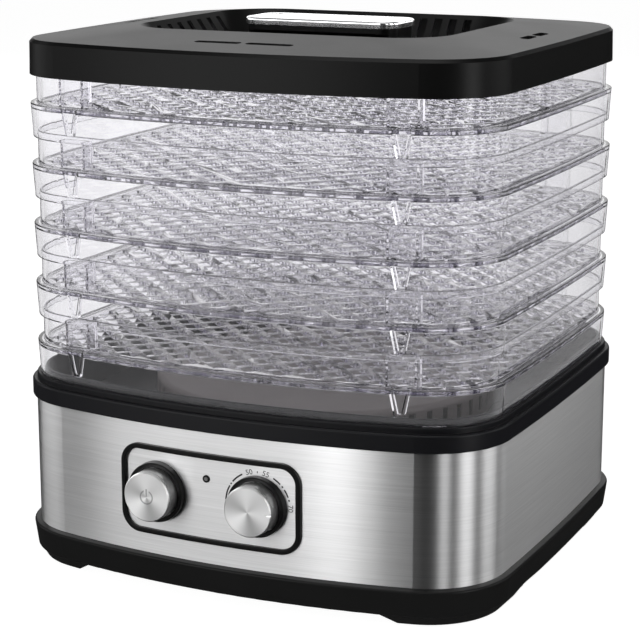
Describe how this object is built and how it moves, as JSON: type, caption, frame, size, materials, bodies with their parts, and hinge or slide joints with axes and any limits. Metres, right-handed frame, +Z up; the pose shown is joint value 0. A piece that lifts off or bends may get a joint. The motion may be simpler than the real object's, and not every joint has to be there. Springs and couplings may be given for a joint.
{
  "type": "food dehydrator",
  "caption": "Square food dehydrator: steel-wrapped fan heater base with two round controls, stacked clear lattice trays and a black vented lid with a chrome handle.",
  "frame": {"origin": "middle of the object's box, on the plane that the rubber feet stand on", "axes": "+Z up through the tray stack, -Y towards the control panel, +X towards the right side as seen from the front"},
  "size_m": [0.29, 0.2992, 0.3019],
  "materials": {
    "black_plastic": "satin",
    "brushed_steel": "brushed along its length",
    "clear_plastic": "clear polished",
    "spun_aluminium": "spun face",
    "chrome": "bright plated",
    "rubber": "matt",
    "plated_steel": "zinc plated",
    "lamination_steel": "varnished",
    "copper_wire": "enamelled",
    "mica_board": "matt",
    "white_plastic": "matt",
    "lamp_plastic": "translucent"
  },
  "bodies": {
    "base": {"base_pan": "black_plastic", "rubber_feet": "rubber", "base_screws": "plated_steel", "steel_band": "brushed_steel", "deck_ring": "black_plastic", "air_diffuser": "brushed_steel", "motor_core": "lamination_steel", "motor_winding": "copper_wire", "motor_bearing_upper": "plated_steel", "motor_bearing_lower": "plated_steel", "motor_bracket": "plated_steel", "heater_coil": "plated_steel", "heater_frame": "mica_board", "thermal_cutout": "white_plastic", "terminal_block": "white_plastic", "panel_bezel": "black_plastic", "panel_plate": "brushed_steel", "power_button_collar": "black_plastic", "push_switch": "black_plastic", "thermostat_collar": "black_plastic", "thermostat": "plated_steel", "pilot_lamp_lens": "lamp_plastic", "pilot_lamp_bezel": "black_plastic", "cord_gland": "rubber"},
    "fan": {"fan_impeller": "black_plastic", "motor_shaft": "plated_steel"},
    "power_button": {"power_button_cap": "spun_aluminium", "power_button_stem": "white_plastic"},
    "thermostat_dial": {"thermostat_knob": "spun_aluminium", "thermostat_shaft": "plated_steel"},
    "lid": {"lid_shell": "black_plastic", "handle_body": "black_plastic", "handle_cap": "chrome", "lid_screws": "plated_steel"},
    "tray_1": {"tray_1_frame": "clear_plastic", "tray_1_floor": "clear_plastic"},
    "tray_2": {"tray_2_frame": "clear_plastic", "tray_2_floor": "clear_plastic"},
    "tray_3": {"tray_3_frame": "clear_plastic", "tray_3_floor": "clear_plastic"},
    "tray_4": {"tray_4_frame": "clear_plastic", "tray_4_floor": "clear_plastic"},
    "tray_5": {"tray_5_frame": "clear_plastic", "tray_5_floor": "clear_plastic"}
  },
  "joints": [
    {"name": "fan_spin", "type": "hinge", "parent": "base", "child": "fan", "pos_m": [0, 0, 0.06], "axis": [0, 0, 1], "continuous": true},
    {"name": "power_button_press", "type": "slide", "parent": "base", "child": "power_button", "axis": [0, 1, 0], "range_m": [0, 0.003], "stiffness_N_per_m": 600},
    {"name": "thermostat_turn", "type": "hinge", "parent": "base", "child": "thermostat_dial", "pos_m": [0.0214, -0.14, 0.0583], "axis": [0, -1, 0], "range_deg": [0, 180]},
    {"name": "tray_5_lift", "type": "slide", "parent": "base", "child": "tray_5", "axis": [0, 0, 1], "range_m": [0, 0.06]},
    {"name": "tray_4_lift", "type": "slide", "parent": "tray_5", "child": "tray_4", "axis": [0, 0, 1], "range_m": [0, 0.06]},
    {"name": "tray_3_lift", "type": "slide", "parent": "tray_4", "child": "tray_3", "axis": [0, 0, 1], "range_m": [0, 0.06]},
    {"name": "tray_2_lift", "type": "slide", "parent": "tray_3", "child": "tray_2", "axis": [0, 0, 1], "range_m": [0, 0.06]},
    {"name": "tray_1_lift", "type": "slide", "parent": "tray_2", "child": "tray_1", "axis": [0, 0, 1], "range_m": [0, 0.06]},
    {"name": "lid_lift", "type": "slide", "parent": "tray_1", "child": "lid", "axis": [0, 0, 1], "range_m": [0, 0.08]}
  ]
}
